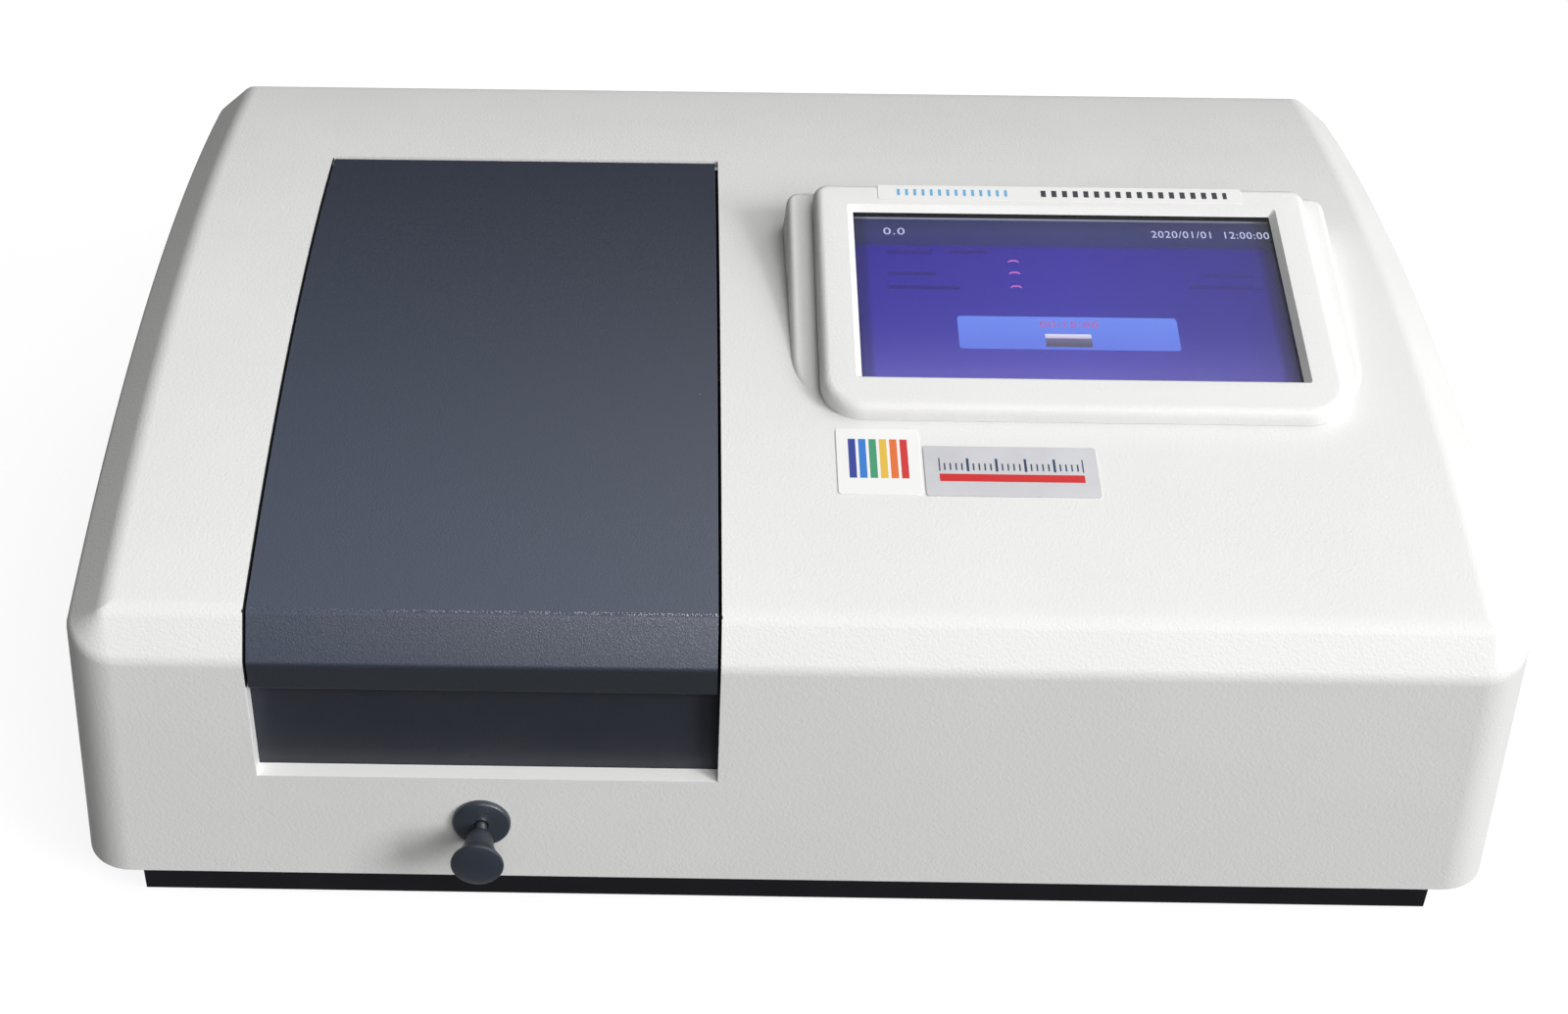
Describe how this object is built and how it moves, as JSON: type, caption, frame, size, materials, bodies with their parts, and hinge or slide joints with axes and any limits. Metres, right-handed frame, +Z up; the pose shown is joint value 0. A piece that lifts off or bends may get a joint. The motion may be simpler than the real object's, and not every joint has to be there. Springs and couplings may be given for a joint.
{
  "type": "bench spectrophotometer",
  "caption": "Bench spectrophotometer with a hinged sample lid, a pull-rod cell carriage, a raised touch display and its monochromator inside.",
  "frame": {"origin": "on the bench, under the middle of the whole instrument with its pull knob", "axes": "+X to the right as the user faces the display, +Y towards the rear panel, +Z up from the bench"},
  "size_m": [0.615, 0.458, 0.2297],
  "materials": {
    "cover_white": "warm white paint with a fine moulded grain",
    "lid_slate": "slate grey plastic with a fine grain",
    "panel_dark": "dark slate plastic, satin",
    "base_black": "near-black powder coat",
    "steel": "satin steel",
    "aluminium": "machined, satin",
    "black_anodised": "matt black anodised against stray light",
    "rubber": "matt moulded rubber",
    "black_plastic": "black moulded plastic",
    "screen_blue": "lit blue-violet display",
    "touch_glass": "clear polished touch panel",
    "lamp_glass": "clear fused silica",
    "mirror": "front-surface coating",
    "board_green": "green solder mask",
    "brass": "turned brass",
    "label_white": "blank paper label, satin",
    "label_grey": "blank metal-foil label, satin"
  },
  "bodies": {
    "housing": {"badge_grey": "label_grey", "badge_white": "label_white", "base_tray": "base_black", "bezel_strip": "label_white", "carriage_rail_left": "steel", "carriage_rail_right": "steel", "collimating_mirror": "mirror", "collimating_mount": "black_anodised", "compartment_panel": "panel_dark", "compartment_tub": "black_anodised", "detector_board": "board_green", "detector_housing": "black_anodised", "deuterium_lamp": "lamp_glass", "display_bezel": "cover_white", "entrance_slit": "black_anodised", "exit_slit": "black_anodised", "fan_frame": "black_plastic", "fan_guard": "steel", "filter_motor": "steel", "focusing_mirror": "mirror", "focusing_mount": "black_anodised", "foot_front_left": "rubber", "foot_front_right": "rubber", "foot_rear_left": "rubber", "foot_rear_right": "rubber", "lamp_house": "steel", "lcd_module": "screen_blue", "lid_pin_left": "steel", "lid_pin_right": "steel", "main_board": "board_green", "monochromator_case": "aluminium", "monochromator_cover": "aluminium", "optical_base": "aluminium", "power_inlet": "black_plastic", "power_supply": "aluminium", "rear_panel": "steel", "rod_bush": "brass", "rod_escutcheon": "lid_slate", "screw_bearing": "aluminium", "serial_port": "steel", "source_motor": "steel", "stepper_motor": "black_plastic", "switch_frame": "black_plastic", "top_cover": "cover_white", "touch_glass": "touch_glass", "tungsten_lamp": "lamp_glass", "usb_port": "steel"},
    "lid": {"sample_lid": "lid_slate"},
    "carriage": {"cell_carriage": "aluminium", "cell_rack": "black_anodised", "pull_rod": "steel", "pull_knob": "lid_slate"},
    "rocker": {"switch_rocker": "black_plastic"},
    "fan": {"fan_rotor": "black_plastic"},
    "screw": {"lead_screw": "steel"},
    "nut": {"drive_nut": "brass"},
    "grating": {"grating_table": "black_anodised", "diffraction_grating": "mirror"},
    "filters": {"filter_wheel": "black_anodised"},
    "lamp_mirror": {"source_mirror": "mirror"}
  },
  "joints": [
    {"name": "lid_hinge", "type": "hinge", "parent": "housing", "child": "lid", "pos_m": [-0.1284, 0.1183, 0.19791], "axis": [-1, 0, 0], "range_deg": [0, 85]},
    {"name": "cell_slide", "type": "slide", "parent": "housing", "child": "carriage", "axis": [0, -1, 0], "range_m": [0, 0.06]},
    {"name": "power_switch", "type": "hinge", "parent": "housing", "child": "rocker", "pos_m": [0.245, 0.2236, 0.095], "axis": [1, 0, 0], "range_deg": [0, 20]},
    {"name": "fan_spin", "type": "hinge", "parent": "housing", "child": "fan", "pos_m": [0.01, 0.2163, 0.072], "axis": [0, 1, 0], "continuous": true},
    {"name": "screw_spin", "type": "hinge", "parent": "housing", "child": "screw", "pos_m": [0.04, 0.07999, 0.062], "axis": [1, 0, 0], "range_deg": [0, 3936]},
    {"name": "nut_slide", "type": "slide", "parent": "housing", "child": "nut", "axis": [1, 0, 0], "range_m": [0, 0.0245]},
    {"name": "grating_turn", "type": "hinge", "parent": "housing", "child": "grating", "pos_m": [0.085, 0.021, 0.066], "axis": [0, 0, -1], "range_deg": [0, 23.2]},
    {"name": "filter_spin", "type": "hinge", "parent": "housing", "child": "filters", "pos_m": [0.02, 0.105, 0.081], "axis": [0, 1, 0], "continuous": true},
    {"name": "lamp_select", "type": "hinge", "parent": "housing", "child": "lamp_mirror", "pos_m": [0.02, 0.165, 0.066], "axis": [0, 0, -1], "range_deg": [0, 90]}
  ],
  "couplings": [
    {"joint": "nut_slide", "follows": "screw_spin", "m_per_rad": 0.00031831},
    {"joint": "grating_turn", "follows": "screw_spin", "ratio": 0.005335}
  ]
}
